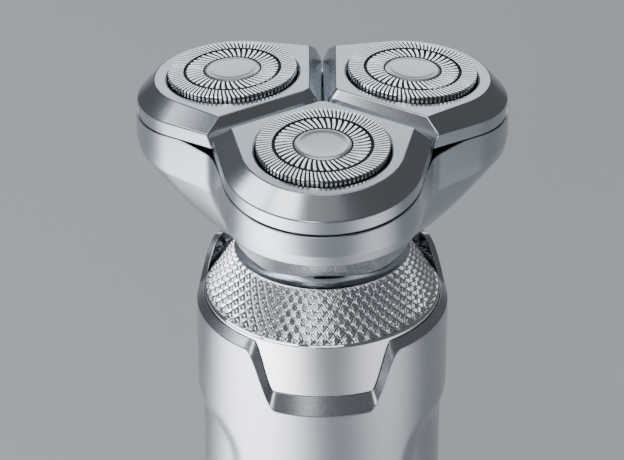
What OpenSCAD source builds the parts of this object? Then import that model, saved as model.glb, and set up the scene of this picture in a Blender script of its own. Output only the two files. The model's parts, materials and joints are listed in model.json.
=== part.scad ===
// Rotary electric shaver: a cylindrical handle, a knurled neck and a head of three tilting lobes.
// The origin is the centre of the foot's underside, +Z is up and the front faces -Y.

/* [Overall] */
// Height of the three disc centres above the table
disc_height = 158; // [157:0.5:159]
// Outer radius of the handle sleeve
handle_r = 22.5; // [22.4:0.1:22.8]

/* [Head] */
// Distance of each disc centre from the head's axis
lobe_radius = 18.2; // [18.1:0.05:18.3]
// Outward tilt of each disc in degrees
disc_tilt = 4; // [3.5:0.25:4.5]
// Extra outward fall of the chamfer and seam planes in degrees
seam_fall = 3.4; // [3:0.2:3.6]
// Radius of the flat plate around each disc
plate_r = 13.8; // [13.6:0.1:14]
// Radius of the band below each plate's chamfer
band_r = 17.1; // [17:0.05:17.2]
// Half width of the groove between two plates
groove_half = 2.3; // [2:0.1:2.4]
// Slope of the groove walls from the vertical in degrees
groove_slope = 21; // [20:0.5:22]
// Radius of the slotted disc
cap_r = 11.5; // [11.4:0.05:11.55]
// How far the disc stands above its plate
cap_rise = 0.95; // [0.8:0.05:1]

/* [Gears] */
// Gear module
gear_module = 0.6; // [0.6]
// Teeth of the centre gear, a multiple of three so that all three meshes agree
centre_teeth = 27; // [27]
// Teeth of each drive gear
drive_teeth = 33; // [33]
// Thickness of the gears
gear_t = 2.6; // [2.2:0.1:2.6]

/* [Handle] */
// Height of the power button's centre
button_z = 78; // [76:1:80]
// Radius of the power button
button_r = 5.7; // [5.4:0.1:5.7]
// Radius of the battery cell
cell_r = 9.2; // [9:0.1:9.25]
// Length of the battery cell
cell_l = 65; // [60:1:65]
// Radius of the motor can
motor_r = 11.9; // [11.5:0.1:11.9]

/* [Hidden] */
$fn = 64;
eps = 0.01;

FRONT = -90;
RIGHT = 30;
LEFT = 150;
LOBES = [FRONT, RIGHT, LEFT];
GROOVES = [-30, 90, 210];
SCREW_ANGLES = [90, 210, 330];

// depth below the disc centres turned into height
function below(d) = disc_height - d;

// lobe outline
arc_half = 78;
corner_y = -6.45;
chamfer_drop = 3.4;
seam_drop = 6.0;
cover_wall = 1;
plate_t = 1.2;
cap_hole_r = cap_r + 0.4;

// lobe hinge, in the lobe's own frame
hinge_drop = 3.9;
pin_r = 0.6;
post_x = 13.85;
post_t = 1;
post_r = 1.2;
run_gap = 0.05;

// gear train
drive_centre = gear_module * (centre_teeth + drive_teeth) / 2;
gear_z = below(14);
gear_hub_r = 3;
cup_z = below(11);
cup_top = below(7.4);
hex_cup_r = 2.25;
tip_z = below(2.4);

// head base
base_bottom = below(27.5);
base_wall = 1.6;
base_foot_r = 13;
base_edge = 0.4;
wall_low = below(11.1);
bowl_top = below(13);
bowl_power = 1.2;
flank_power = 0.48;
flank_at = 38;
crease_r = 5;
base_floor = below(20.5);
socket_top = below(22);
socket_r = 9.8;
plate_z = below(10.9);
gear_plate_t = 1.5;
standoff_at = 15.8;

// neck and upper handle
knurl_top = below(29.4);
knurl_bottom = below(37.5);
knurl_top_r = 15.7;
slot_x = 1.2;
knurl_bottom_r = 20.7;
knurl_wall = 1.6;
collar_r = 21.1;
collar_in_r = 19.5;
collar_bottom = below(54);
spigot_r = 9.5;
spigot_top = below(23.8);
deck_r = 12.9;
deck_top = below(29.4);
shaft_r = 1;

// handle sleeve
rim_in_r = 21.2;
sleeve_in_r = 20.2;
sleeve_bottom = 9;
rim_front = below(39.2);
rim_back = below(33.6);
notch_bottom = below(49.8);
recess_depth = 1;
recess_half = 17.8;
recess_corner = 8;
recess_top = below(56.6);
recess_bottom = 34;

// inside the handle
chassis_r = 19.9;
chassis_in_r = 18.7;
chassis_bottom = 10;
boss_at = 16.3;
boss_r = 2.6;
board_y = -14.2;
board_t = 1.6;
board_half = 9;
board_bottom = 4;
board_top = 98;
bar_z = [24, 92];
cell_y = 3.5;
cell_z = 14.5;
port_y = board_y + board_t + 1.65;
motor_top = deck_top - 2.2;
motor_bottom = motor_top - 28.4;
screw_r = 0.95;
screw_l = 5;
screw_hole_r = 1;

// ---------- shared shapes ----------

module tube(r_out, r_in, z0, z1) {
    translate([0, 0, z0]) difference() {
        cylinder(r = r_out, h = z1 - z0);
        translate([0, 0, -eps]) cylinder(r = r_in, h = z1 - z0 + 2 * eps);
    }
}

module disc(r, z0, z1) {
    translate([0, 0, z0]) cylinder(r = r, h = z1 - z0);
}

module hexagon(r, z0, z1) {
    translate([0, 0, z0]) cylinder(r = r, h = z1 - z0, $fn = 6);
}

// children turned so that their +Y points from the head's axis along the given direction
module facing(angle) {
    rotate([0, 0, angle - 90]) children();
}

// children in a lobe's own frame: origin at the disc centre on the plate, +Y outward, +Z out of the plate
module on_lobe(angle) {
    facing(angle) translate([0, lobe_radius, disc_height]) rotate([-disc_tilt, 0, 0]) children();
}

// children on a drive gear's upright axis
module on_drive(angle) {
    facing(angle) translate([0, drive_centre, 0]) children();
}

module around(radius, angles) {
    for (a = angles) rotate([0, 0, a]) translate([radius, 0, 0]) children();
}

module pill(width, height, depth) {
    linear_extrude(depth) {
        square([width, height - width], center = true);
        for (side = [-1, 1]) translate([0, side * (height - width) / 2]) circle(d = width);
    }
}

// a pan-head screw pointing down, its head resting on the plane z = 0
module screw() {
    difference() {
        union() {
            cylinder(r = 1.7, h = 1.2);
            translate([0, 0, -screw_l]) cylinder(r = screw_r, h = screw_l + eps);
        }
        for (turn = [0, 90]) rotate([0, 0, turn]) translate([-1, -0.2, 0.5]) cube([2, 0.4, 1]);
    }
}

module screw_hole() {
    translate([0, 0, -screw_l - 1]) cylinder(r = screw_hole_r, h = screw_l + 2);
}

// ---------- lobe covers ----------

function tangent_x(r, y) = (r - y * cos(arc_half)) / sin(arc_half);

// half of a circle drawn out to y_low by two tangent lines, then closed through the inner points
function lobe_outline(r, y_low, inner = []) = concat(
    [for (i = [0:24]) let (a = -arc_half + i * arc_half / 12) [r * sin(a), r * cos(a)]],
    [[tangent_x(r, y_low), y_low]],
    inner,
    [[-tangent_x(r, y_low), y_low]]
);

module outline_slab(r, drop, fall) {
    translate([0, band_r, -drop]) rotate([-fall, 0, 0]) translate([0, -band_r, -eps])
        linear_extrude(eps) polygon(lobe_outline(r, -lobe_radius));
}

// the convex body of one cover, drawn inset by a wall thickness for its hollow
module cover_body(inset, extra_drop) {
    difference() {
        hull() {
            outline_slab(plate_r - inset, 0, 0);
            outline_slab(band_r - inset, chamfer_drop, seam_fall);
            outline_slab(band_r - inset, seam_drop + extra_drop, seam_fall);
        }
        for (side = [-1, 1]) mirror([side < 0 ? 1 : 0, 0, 0]) groove_cut(inset);
    }
}

// everything beyond the wall of the groove on the +X side
module groove_cut(inset) {
    translate([0, -lobe_radius, 0]) rotate([0, 0, 30]) translate([0, groove_half + inset, 0])
        rotate([-groove_slope, 0, 0]) translate([-60, -60, -60]) cube([120, 60, 120]);
}

module cover() {
    color("lightsteelblue") difference() {
        cover_body(0, 0);
        translate([0, 0, -plate_t]) cover_body(cover_wall, 3);
        translate([0, 0, -plate_t - 1]) cylinder(r = cap_hole_r, h = plate_t + 2);
        pin_bores();
    }
}

module pin_bores() {
    translate([-16.7, 0, -hinge_drop]) rotate([0, 90, 0]) cylinder(r = pin_r + run_gap, h = 33.4);
}

// ---------- floating disc, cutter and their frame ----------

module cap() {
    color("silver") rotate_extrude() polygon([
        [4.95, cap_rise - 0.45], [11.1, cap_rise - 0.45], [11.1, -1.9], [cap_r + 0.7, -1.9],
        [cap_r + 0.7, -1.4], [cap_r, -1.4], [cap_r, cap_rise - 0.2], [cap_r - 0.25, cap_rise],
        [8.6, cap_rise], [8.6, cap_rise - 0.2], [8.2, cap_rise - 0.2], [8.2, cap_rise],
        [5.15, cap_rise], [4.95, cap_rise - 0.15]
    ]);
}

module cap_boss() {
    color("gainsboro") rotate_extrude() polygon([
        [0, 0.05], [5.4, 0.05], [5.4, cap_rise - 0.46], [4.85, cap_rise - 0.46],
        [4.85, cap_rise - 0.05], [4.2, cap_rise + 0.2], [0, cap_rise + 0.2]
    ]);
}

module blade(r0, r1) {
    translate([r0, -0.25, -0.7]) cube([r1 - r0, 0.5, 1.05]);
}

module cutter() {
    color("lightgray") difference() {
        union() {
            disc(3, -5, -0.4);
            tube(10.9, 5.3, -1.2, -0.6);
            tube(6, 2.5, -1.6, -0.6);
            for (i = [0:14]) rotate([0, 0, i * 24]) {
                blade(8.8, 10.9);
                rotate([0, 0, 9]) blade(5.6, 8);
            }
        }
        hexagon(2.15, -6, -2.1);
    }
}

module retainer() {
    ring_in = 11.2;
    ring_out = 12.9;
    color("dimgray") difference() {
        union() {
            rotate([0, 0, 17]) tube(ring_out, ring_in, -4.9, -2.9);
            tube(4.6, 3.4, -4.9, -4.2);
            for (i = [0:2]) rotate([0, 0, 30 + i * 120]) translate([4.2, -0.7, -4.9]) cube([7.4, 1.4, 0.7]);
            for (side = [-1, 1]) translate([side * 13 - 0.5, -1.3, -4.9]) cube([1, 2.6, 2.2]);
            translate([-1.5, 12.8, -4.9]) cube([3, 2.4, 0.7]);
        }
        pin_bores();
    }
}

// ---------- drive in the head ----------

function involute(a) = tan(a) * 180 / PI - a;

function half_tooth(n, r) = let (
    pitch = gear_module * n / 2,
    base = pitch * cos(20),
    at = max(r, base)
) 88 / n + involute(20) - involute(acos(base / at));

function gear_points(n) = let (
    pitch = gear_module * n / 2,
    radii = [pitch - 1.25 * gear_module, pitch * cos(20), pitch, pitch + 0.5 * gear_module, pitch + gear_module]
) [
    for (i = [0:n - 1]) each concat(
        [for (r = radii) let (a = i * 360 / n - half_tooth(n, r)) [r * cos(a), r * sin(a)]],
        [for (k = [4:-1:0]) let (a = i * 360 / n + half_tooth(n, radii[k])) [radii[k] * cos(a), radii[k] * sin(a)]]
    )
];

module toothed_disc(n) {
    linear_extrude(gear_t) polygon(gear_points(n));
}

module centre_gear() {
    color("ivory") difference() {
        union() {
            // one tooth points at each drive gear
            translate([0, 0, gear_z]) rotate([0, 0, FRONT]) toothed_disc(centre_teeth);
            disc(gear_hub_r, socket_top - 0.8, gear_z + eps);
        }
        hexagon(1.9, socket_top - 2, socket_top + 4.6);
    }
}

module drive_gear(angle) {
    color("ivory") on_drive(angle) difference() {
        union() {
            // a gap between two teeth points back at the centre gear
            translate([0, 0, gear_z]) rotate([0, 0, FRONT + 180 / drive_teeth]) toothed_disc(drive_teeth);
            disc(gear_hub_r, gear_z - 0.2, cup_top);
        }
        disc(shaft_r + run_gap, gear_z - 1, cup_z - 0.6);
        hexagon(hex_cup_r, cup_z, cup_top + 1);
    }
}

module drive_pin(angle) {
    color("white") on_drive(angle) {
        hexagon(hex_cup_r - 0.3, cup_z + 1.8, cup_top + 1);
        disc(1, cup_top, tip_z - 1);
        hexagon(1.5, tip_z - 2, tip_z - 0.4);
        translate([0, 0, tip_z - 0.4]) cylinder(r1 = 1.3, r2 = 0.8, h = 0.4);
    }
}

// points of a round wire wound into a helix
module coil(mean_r, wire_r, height, turns) {
    sides = 6;
    steps = turns * 14;
    points = [
        for (i = [0:steps]) for (k = [0:sides - 1]) let (
            a = 360 * turns * i / steps,
            r = mean_r + wire_r * cos(360 * k / sides),
            z = wire_r + (height - 2 * wire_r) * i / steps + wire_r * sin(360 * k / sides)
        ) [r * cos(a), r * sin(a), z]
    ];
    skin = [
        for (i = [0:steps - 1]) for (k = [0:sides - 1]) let (j = (k + 1) % sides)
            [i * sides + k, i * sides + j, (i + 1) * sides + j, (i + 1) * sides + k]
    ];
    start = [for (k = [0:sides - 1]) sides - 1 - k];
    finish = [for (k = [0:sides - 1]) steps * sides + k];
    polyhedron(points, concat(skin, [start, finish]), convexity = 6);
}

module cutter_spring(angle) {
    color("gray") on_drive(angle) translate([0, 0, cup_z + 0.05]) coil(1.5, 0.16, 1.7, 3);
}

module gear_axles() {
    color("silver") for (a = LOBES) on_drive(a) disc(shaft_r, base_floor + 1, cup_z - 0.7);
}

module pivot_pins() {
    color("silver") for (a = LOBES) on_lobe(a) for (side = [-1, 1]) mirror([side < 0 ? 1 : 0, 0, 0])
        translate([12.7, 0, -hinge_drop]) rotate([0, 90, 0]) cylinder(r = pin_r, h = 3.9);
}

module head_screws() {
    color("silver") around(standoff_at, GROOVES) translate([0, 0, plate_z + gear_plate_t]) screw();
}

// ---------- head base ----------

// angle between a direction and the middle of the nearest lobe
function off_lobe(angle) = abs((angle - FRONT + 420) % 120 - 60);

// reach of the base's upright wall in a direction: an arc round the lobe, its tangent, and a round crease
function wall_reach(angle) = let (
    off = off_lobe(angle),
    arc = lobe_radius * cos(off) + sqrt(pow(band_r, 2) - pow(lobe_radius * sin(off), 2)),
    arc_end = atan2(arc * sin(off), arc * cos(off) - lobe_radius),
    line_at = band_r + lobe_radius * cos(arc_half),
    crease_at = (line_at + crease_r) / cos(60 - arc_half),
    touch_x = crease_at * cos(60) - crease_r * cos(arc_half),
    touch_y = crease_at * sin(60) - crease_r * sin(arc_half),
    touch = atan2(touch_y, touch_x)
) arc_end < arc_half ? arc
    : off < touch ? line_at / cos(off - arc_half)
    : crease_at * cos(60 - off) - sqrt(pow(crease_r, 2) - pow(crease_at * sin(60 - off), 2));

function ease(t) = let (u = min(t, 1)) u * u * (3 - 2 * u);

// the base's outline in one direction, from the top down: the wall, a narrow bevel, and a bowl that is
// fuller on the lobes' flanks than at their middles
function base_profile(angle) = let (
    reach = wall_reach(angle),
    edge_r = reach - base_edge,
    power = bowl_power + flank_power * ease(off_lobe(angle) / flank_at)
) concat(
    [[reach, disc_height], [reach, wall_low]],
    [for (t = [0, 0.15, 0.3, 0.45, 0.6, 0.8, 1]) [
        edge_r + (base_foot_r - edge_r) * t,
        bowl_top - (bowl_top - base_bottom) * (1 - pow(1 - t, power))
    ]]
);

module base_outline(inset) {
    polygon([for (a = [0:3.75:359]) (wall_reach(a) - inset) * [cos(a), sin(a)]]);
}

// the base's solid body, drawn in by an inset and raised by a lift
module base_body(inset, lift) {
    sides = 96;
    rings = 9;
    skin = [
        for (k = [0:rings - 1]) for (i = [0:sides - 1]) let (
            a = 360 * i / sides,
            at = base_profile(a)[k]
        ) [(at.x - inset) * cos(a), (at.x - inset) * sin(a), at.y + lift]
    ];
    sheet = [
        for (k = [0:rings - 2]) for (i = [0:sides - 1]) let (
            j = (i + 1) % sides,
            upper = k * sides,
            lower = upper + sides
        ) each [[upper + i, upper + j, lower + j], [upper + i, lower + j, lower + i]]
    ];
    top = rings * sides;
    lid = [for (i = [0:sides - 1]) [top, (i + 1) % sides, i]];
    foot = [for (i = [0:sides - 1]) [top + 1, top - sides + i, top - sides + (i + 1) % sides]];
    ends = [[0, 0, disc_height + lift], [0, 0, base_bottom + lift]];
    polyhedron(concat(skin, ends), concat(sheet, lid, foot), convexity = 6);
}

// the space that one lobe's cover needs, falling away towards the groove so that the cover can tilt
module cover_space(angle) {
    gap = 0.3;
    facing(angle) intersection() {
        translate([0, lobe_radius, disc_height]) rotate([-disc_tilt, 0, 0])
            translate([0, band_r, -seam_drop - gap]) rotate([-seam_fall, 0, 0]) {
                translate([-40, -band_r, 0]) cube([80, 80, 40]);
                translate([0, -band_r, 0]) rotate([7, 0, 0]) translate([-40, -40, 0]) cube([80, 50, 40]);
            }
        translate([0, -0.5, base_floor]) linear_extrude(60)
            polygon([[0, 0], [60 * tan(60), 60], [-60 * tan(60), 60]]);
    }
}

module head_base() {
    color("lightslategray") difference() {
        union() {
            difference() {
                base_body(0, 0);
                for (a = LOBES) cover_space(a);
                intersection() {
                    base_body(base_wall, base_wall / 2);
                    disc(60, base_floor, disc_height + 2);
                }
            }
            disc(4.6, base_floor - 0.5, gear_z - 1.4);
            around(standoff_at, GROOVES) disc(2.2, base_floor - 0.5, plate_z);
            for (a = LOBES) on_drive(a) disc(2.2, base_floor - 0.5, gear_z - 0.4);
        }
        disc(socket_r, base_bottom - 1, socket_top);
        disc(gear_hub_r + run_gap, base_bottom - 1, gear_z);
        around(standoff_at, GROOVES) translate([0, 0, plate_z]) screw_hole();
        for (a = LOBES) on_drive(a) disc(shaft_r, base_floor + 1, gear_z);
    }
}

module pivot_post(angle, side) {
    on_lobe(angle) mirror([side < 0 ? 1 : 0, 0, 0]) translate([post_x, 0, -hinge_drop]) difference() {
        union() {
            rotate([0, 90, 0]) cylinder(r = post_r, h = post_t);
            rotate([disc_tilt, 0, 0]) translate([0, -post_r, -6.5]) cube([post_t, 2 * post_r, 6.5]);
        }
        translate([-1, 0, 0]) rotate([0, 90, 0]) cylinder(r = pin_r, h = post_t + 2);
    }
}

module gear_plate() {
    rib_top = below(5);
    color("dimgray") difference() {
        union() {
            translate([0, 0, plate_z]) linear_extrude(gear_plate_t) base_outline(base_wall + 0.6);
            for (a = LOBES) for (side = [-1, 1]) pivot_post(a, side);
            for (a = GROOVES) rotate([0, 0, a]) translate([-0.2, -0.35, plate_z + 0.5])
                cube([13.8, 0.7, rib_top - plate_z - 0.5]);
        }
        for (a = LOBES) on_drive(a) disc(gear_hub_r + run_gap, plate_z - 1, plate_z + gear_plate_t + 1);
        around(standoff_at, GROOVES) translate([0, 0, plate_z + gear_plate_t]) screw_hole();
    }
}

// ---------- neck and collar ----------

module neck_ring() {
    top = base_bottom - 0.3;
    color("white") difference() {
        rotate_extrude() polygon([
            [11.4, top], [base_foot_r - 0.2, top], [base_foot_r + 0.1, top - 0.6], [base_foot_r + 0.9, top - 1.1],
            [knurl_top_r - 0.1, knurl_top + 0.1], [knurl_top_r - 0.1, knurl_top], [11.4, knurl_top]
        ]);
        translate([slot_x - 2.5, -base_foot_r - 1, top - 0.7]) cube([5, 1.6, 0.4]);
    }
}

module knurled_collar() {
    color("silver") rotate_extrude() polygon([
        [knurl_top_r, knurl_top], [knurl_bottom_r, knurl_bottom], [knurl_bottom_r - knurl_wall, knurl_bottom],
        [knurl_top_r - knurl_wall, knurl_top - 1.5], [deck_r + 0.1, knurl_top - 1.5], [deck_r + 0.1, knurl_top]
    ]);
}

module chrome_collar() {
    color("white") tube(collar_r, collar_in_r, collar_bottom, knurl_bottom);
}

module top_deck() {
    flange_bottom = collar_bottom;
    color("dimgray") difference() {
        union() {
            disc(19.3, flange_bottom, flange_bottom + 2.5);
            disc(deck_r, flange_bottom, deck_top);
            tube(spigot_r, spigot_r - 1.3, deck_top - eps, spigot_top);
            disc(4.2, deck_top - eps, deck_top + 2.6);
        }
        disc(motor_r + 0.1, flange_bottom - 1, motor_top);
        disc(3.3, motor_top - 1, deck_top - 0.2);
        disc(1.6, motor_top, deck_top + 5);
        disc(3.2, deck_top + 0.4, deck_top + 5);
        around(6, [0, 180]) translate([0, 0, deck_top]) screw_hole();
        around(boss_at, SCREW_ANGLES) translate([0, 0, flange_bottom + 2.5]) screw_hole();
        translate([0, 0, deck_top + 2.2]) seal_ring(0.65);
    }
}

module seal_ring(section_r) {
    rotate_extrude() translate([spigot_r - 0.4, 0]) circle(r = section_r);
}

module neck_seal() {
    color("black") translate([0, 0, deck_top + 2.2]) seal_ring(0.6);
}

module shaft_seal() {
    color("black") tube(3.2, shaft_r + 0.04, deck_top + 0.4, deck_top + 2.4);
}

// ---------- handle sleeve ----------

// the space above the rim: level at the front, rising behind the sides to the back
module rim_cut() {
    rotate([90, 0, 90]) translate([0, 0, -40]) linear_extrude(80) polygon([
        [-40, rim_front], [2.7, rim_front], [12.1, rim_back], [40, rim_back], [40, rim_back + 30],
        [-40, rim_back + 30]
    ]);
}

module notch_cut() {
    rotate([90, 0, 0]) linear_extrude(40) polygon([
        [-8, notch_bottom], [8, notch_bottom], [9.7, notch_bottom + 1.4], [11.4, rim_front - 3],
        [13.4, rim_front + eps], [-13.4, rim_front + eps], [-11.4, rim_front - 3], [-9.7, notch_bottom + 1.4]
    ]);
}

module recess_outline() {
    middle = (recess_top + recess_bottom) / 2;
    half_h = (recess_top - recess_bottom) / 2;
    translate([0, middle]) {
        square([2 * recess_half, 2 * (half_h - recess_corner)], center = true);
        square([2 * (recess_half - recess_corner), 2 * half_h], center = true);
        for (x = [-1, 1]) for (y = [-1, 1])
            translate([x * (recess_half - recess_corner), y * (half_h - recess_corner)]) circle(r = recess_corner);
    }
}

module grip_recess() {
    difference() {
        rotate([90, 0, 90]) translate([0, 0, -40]) linear_extrude(80) recess_outline();
        disc(handle_r - recess_depth, 0, disc_height);
    }
}

module body_shell() {
    color("lightsteelblue") difference() {
        disc(handle_r, sleeve_bottom, rim_back + eps);
        disc(sleeve_in_r, 0, disc_height);
        disc(rim_in_r, collar_bottom, disc_height);
        rim_cut();
        notch_cut();
        grip_recess();
        translate([0, 0, button_z]) rotate([90, 0, 0]) cylinder(r = button_r + 1.5, h = 40);
        translate([0, 0, button_z - 20]) rotate([90, 0, 0]) pill(2.8, 12, 40);
    }
}

module base_cap() {
    color("lightslategray") difference() {
        union() {
            rotate_extrude() polygon([
                [0, 1.2], [20, 1.2], [handle_r - 0.5, 3.6], [handle_r - 0.2, sleeve_bottom - 0.3],
                [handle_r - 0.2, sleeve_bottom], [0, sleeve_bottom]
            ]);
            disc(sleeve_in_r - 0.1, 3, sleeve_bottom + 4);
        }
        disc(18.6, 3.4, 20);
        around(boss_at, SCREW_ANGLES) {
            disc(1.9, 0, 2.5);
            disc(screw_hole_r, 0, 5);
        }
        port_opening(9.4, 3.8, 5);
    }
}

module port_opening(width, height, depth) {
    translate([0, port_y, -1]) rotate([0, 0, 90]) pill(height, width, depth);
}

module foot_pad() {
    color("black") difference() {
        disc(18.8, 0, 1.2);
        port_opening(13, 7, 4);
    }
}

// ---------- inside the handle ----------

module chassis() {
    top = collar_bottom;
    color("darkslategray") difference() {
        union() {
            tube(chassis_r, chassis_in_r, chassis_bottom + 3.4, top);
            around(boss_at, SCREW_ANGLES) disc(boss_r - 0.4, 3.6, 17);
            around(boss_at, SCREW_ANGLES) disc(boss_r, chassis_bottom + 3.6, 17);
            around(boss_at, SCREW_ANGLES) disc(boss_r, top - 9, top);
            for (z = bar_z) intersection() {
                disc(19, z - 2, z + 2);
                translate([-20, -12.5, z - 2]) cube([40, 3.6, 4]);
            }
            for (z = [30, 70]) intersection() {
                disc(19, z, z + 2);
                translate([-30, -7, z]) cube([60, 60, 2]);
            }
        }
        translate([-10, -40, 0]) cube([20, 40 + board_y + board_t + 0.1, top - 2]);
        translate([-14, -40, 0]) cube([28, 24, top - 2]);
        translate([0, cell_y, 10]) cylinder(r = cell_r + 0.1, h = 70);
        around(boss_at, SCREW_ANGLES) disc(screw_hole_r, 0, 9);
        around(boss_at, SCREW_ANGLES) disc(screw_hole_r, top - 6, top + 1);
        for (x = [-1, 1]) for (z = bar_z) translate([x * 7, -13, z]) rotate([-90, 0, 0])
            cylinder(r = screw_hole_r, h = 5);
    }
}

module housing_screws() {
    color("silver") {
        around(boss_at, SCREW_ANGLES) translate([0, 0, 2.5]) mirror([0, 0, 1]) screw();
        around(boss_at, SCREW_ANGLES) translate([0, 0, collar_bottom + 2.5]) screw();
        around(6, [0, 180]) translate([0, 0, deck_top]) screw();
        for (x = [-1, 1]) for (z = bar_z) translate([x * 7, board_y, z]) rotate([90, 0, 0]) screw();
    }
}

module battery_cell() {
    color("royalblue") translate([0, cell_y, cell_z]) {
        cylinder(r = cell_r, h = cell_l);
        cylinder(r = 3, h = cell_l + 0.6);
    }
}

module lead(x) {
    wire_r = 0.5;
    route = [[x, -1, motor_bottom - 3.4], [x, -6.5, 91], [x, -6.5, 86], [x, board_y + board_t, 86]];
    for (i = [0:2]) let (
        step = route[i + 1] - route[i],
        length = norm(step)
    ) translate(route[i]) rotate([0, 0, atan2(step.y, step.x)]) rotate([0, acos(step.z / length), 0])
        cylinder(r = wire_r, h = length);
    for (i = [1:2]) translate(route[i]) sphere(r = wire_r, $fn = 24);
}

module battery_wiring() {
    cell_top = cell_z + cell_l + 0.6;
    back = board_y + board_t;
    color("goldenrod") {
        lead(-4);
        lead(4);
        translate([-2.5, back, cell_top]) cube([5, cell_y + 3 - back, 0.3]);
        translate([-2.5, back + 2, cell_z - 0.3]) cube([5, cell_y + 1 - back, 0.3]);
        translate([-2.5, back, cell_z - 0.3]) cube([5, 2 + eps, 0.3]);
    }
}

module main_board() {
    color("darkgreen") difference() {
        translate([-board_half, board_y, board_bottom]) cube([2 * board_half, board_t, board_top - board_bottom]);
        for (x = [-1, 1]) for (z = bar_z) translate([x * 7, board_y - 1, z]) rotate([-90, 0, 0])
            cylinder(r = screw_hole_r, h = board_t + 2);
    }
}

module board_parts() {
    front = board_y;
    back = board_y + board_t;
    color("black") {
        translate([-3, back, 32]) cube([6, 1.2, 6]);
        translate([2, back, 44]) cube([4, 1, 4]);
        translate([-7, back, 54]) cube([5, 2.4, 5]);
        for (z = [button_z - 24, button_z - 20, button_z - 16]) translate([-0.8, front - 0.8, z - 0.8])
            cube([1.6, 0.8, 1.6]);
        for (i = [0:3]) translate([-6 + 3.2 * i, front - 0.6, 38]) cube([1.6, 0.6, 1]);
    }
}

module switch_body() {
    color("gray") translate([-3, board_y - 2.7, button_z - 3]) cube([6, 2.7, 6]);
}

// children drawn along -Y from the handle's axis at the button's height
module on_button() {
    translate([0, 0, button_z]) rotate([90, 0, 0]) children();
}

module button_bezel() {
    color("white") on_button() tube(button_r + 1.4, button_r + 0.3, 19.6, handle_r + 0.3);
}

module button_seal() {
    color("black") on_button() tube(button_r + 1.4, 1.9, 18.4, 18.8);
}

module power_button() {
    color("silver") on_button() difference() {
        union() {
            disc(button_r, 19.8, handle_r + 0.4);
            disc(1.5, -board_y + 3.4, 20);
        }
        translate([0, 0, handle_r + 30]) sphere(r = 30.1);
    }
}

module indicator_lens() {
    color("white") translate([0, -16, button_z - 20]) rotate([90, 0, 0]) pill(2.6, 11.8, handle_r - 16 - 0.05);
}

module charge_port() {
    color("silver") translate([0, port_y, 1.5]) {
        difference() {
            rotate([0, 0, 90]) pill(3.2, 9, 7.4);
            translate([0, 0, -eps]) rotate([0, 0, 90]) pill(2.6, 8.4, 6.4);
        }
        translate([-3.4, -0.35, 1.2]) cube([6.8, 0.7, 5.4]);
    }
}

module port_gasket() {
    color("black") translate([0, port_y, 3.5]) difference() {
        rotate([0, 0, 90]) pill(5.6, 11.4, 1.4);
        translate([0, 0, -1]) rotate([0, 0, 90]) pill(3.2, 9, 4);
        translate([-10, -5 - 1.65, -1]) cube([20, 5, 4]);
    }
}

// ---------- motor ----------

module motor_can() {
    color("silver") difference() {
        disc(motor_r, motor_bottom, motor_top);
        disc(motor_r - 0.8, motor_bottom - 1, motor_top - 1.2);
        disc(3, motor_top - 2, motor_top + 1);
        around(6, [0, 180]) translate([0, 0, deck_top]) screw_hole();
    }
}

module motor_end_bell() {
    color("black") difference() {
        union() {
            disc(motor_r - 0.8, motor_bottom, motor_bottom + 2);
            disc(motor_r, motor_bottom - 1.2, motor_bottom);
            disc(4, motor_bottom - 3, motor_bottom);
        }
        disc(2.4, motor_bottom - 4, motor_bottom + 3);
    }
}

module motor_magnets() {
    color("dimgray") difference() {
        tube(motor_r - 0.85, motor_r - 2.3, motor_bottom + 4, motor_top - 6);
        for (turn = [0, 90]) rotate([0, 0, turn]) translate([-20, -1, motor_bottom]) cube([40, 2, 40]);
    }
}

module motor_bearings() {
    color("goldenrod") {
        tube(3, shaft_r + 0.03, motor_top - 1.6, motor_top + 1.2);
        tube(2.4, shaft_r + 0.03, motor_bottom - 2.6, motor_bottom + 0.6);
    }
}

module motor_shaft() {
    color("silver") disc(shaft_r, motor_bottom - 2.4, spigot_top + 2.4);
}

module armature() {
    color("peru") difference() {
        disc(motor_r - 2.7, motor_bottom + 5, motor_top - 7);
        disc(shaft_r, motor_bottom, motor_top);
        for (i = [0:2]) rotate([0, 0, i * 120]) translate([5, -1.2, motor_bottom]) cube([9, 2.4, 40]);
    }
}

module drive_dog() {
    color("white") difference() {
        hexagon(1.5, spigot_top + 0.4, spigot_top + 5.2);
        disc(shaft_r, spigot_top, spigot_top + 2.4);
    }
}

body_shell();
chrome_collar();
knurled_collar();
neck_ring();
top_deck();
neck_seal();
shaft_seal();
chassis();
base_cap();
foot_pad();
housing_screws();
motor_can();
motor_end_bell();
motor_magnets();
motor_bearings();
battery_cell();
battery_wiring();
main_board();
board_parts();
switch_body();
button_bezel();
button_seal();
indicator_lens();
charge_port();
port_gasket();
power_button();
motor_shaft();
armature();
drive_dog();
head_base();
gear_plate();
gear_axles();
pivot_pins();
head_screws();
centre_gear();
on_lobe(FRONT) cover();  // front_cover
on_lobe(FRONT) retainer();  // front_retainer
on_lobe(FRONT) cap();  // front_cap
on_lobe(FRONT) cap_boss();  // front_cap_boss
on_lobe(FRONT) cutter();  // front_cutter
drive_gear(FRONT);  // front_drive_gear
drive_pin(FRONT);  // front_drive_pin
cutter_spring(FRONT);  // front_spring
on_lobe(RIGHT) cover();  // right_cover
on_lobe(RIGHT) retainer();  // right_retainer
on_lobe(RIGHT) cap();  // right_cap
on_lobe(RIGHT) cap_boss();  // right_cap_boss
on_lobe(RIGHT) cutter();  // right_cutter
drive_gear(RIGHT);  // right_drive_gear
drive_pin(RIGHT);  // right_drive_pin
cutter_spring(RIGHT);  // right_spring
on_lobe(LEFT) cover();  // left_cover
on_lobe(LEFT) retainer();  // left_retainer
on_lobe(LEFT) cap();  // left_cap
on_lobe(LEFT) cap_boss();  // left_cap_boss
on_lobe(LEFT) cutter();  // left_cutter
drive_gear(LEFT);  // left_drive_gear
drive_pin(LEFT);  // left_drive_pin
cutter_spring(LEFT);  // left_spring
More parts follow.
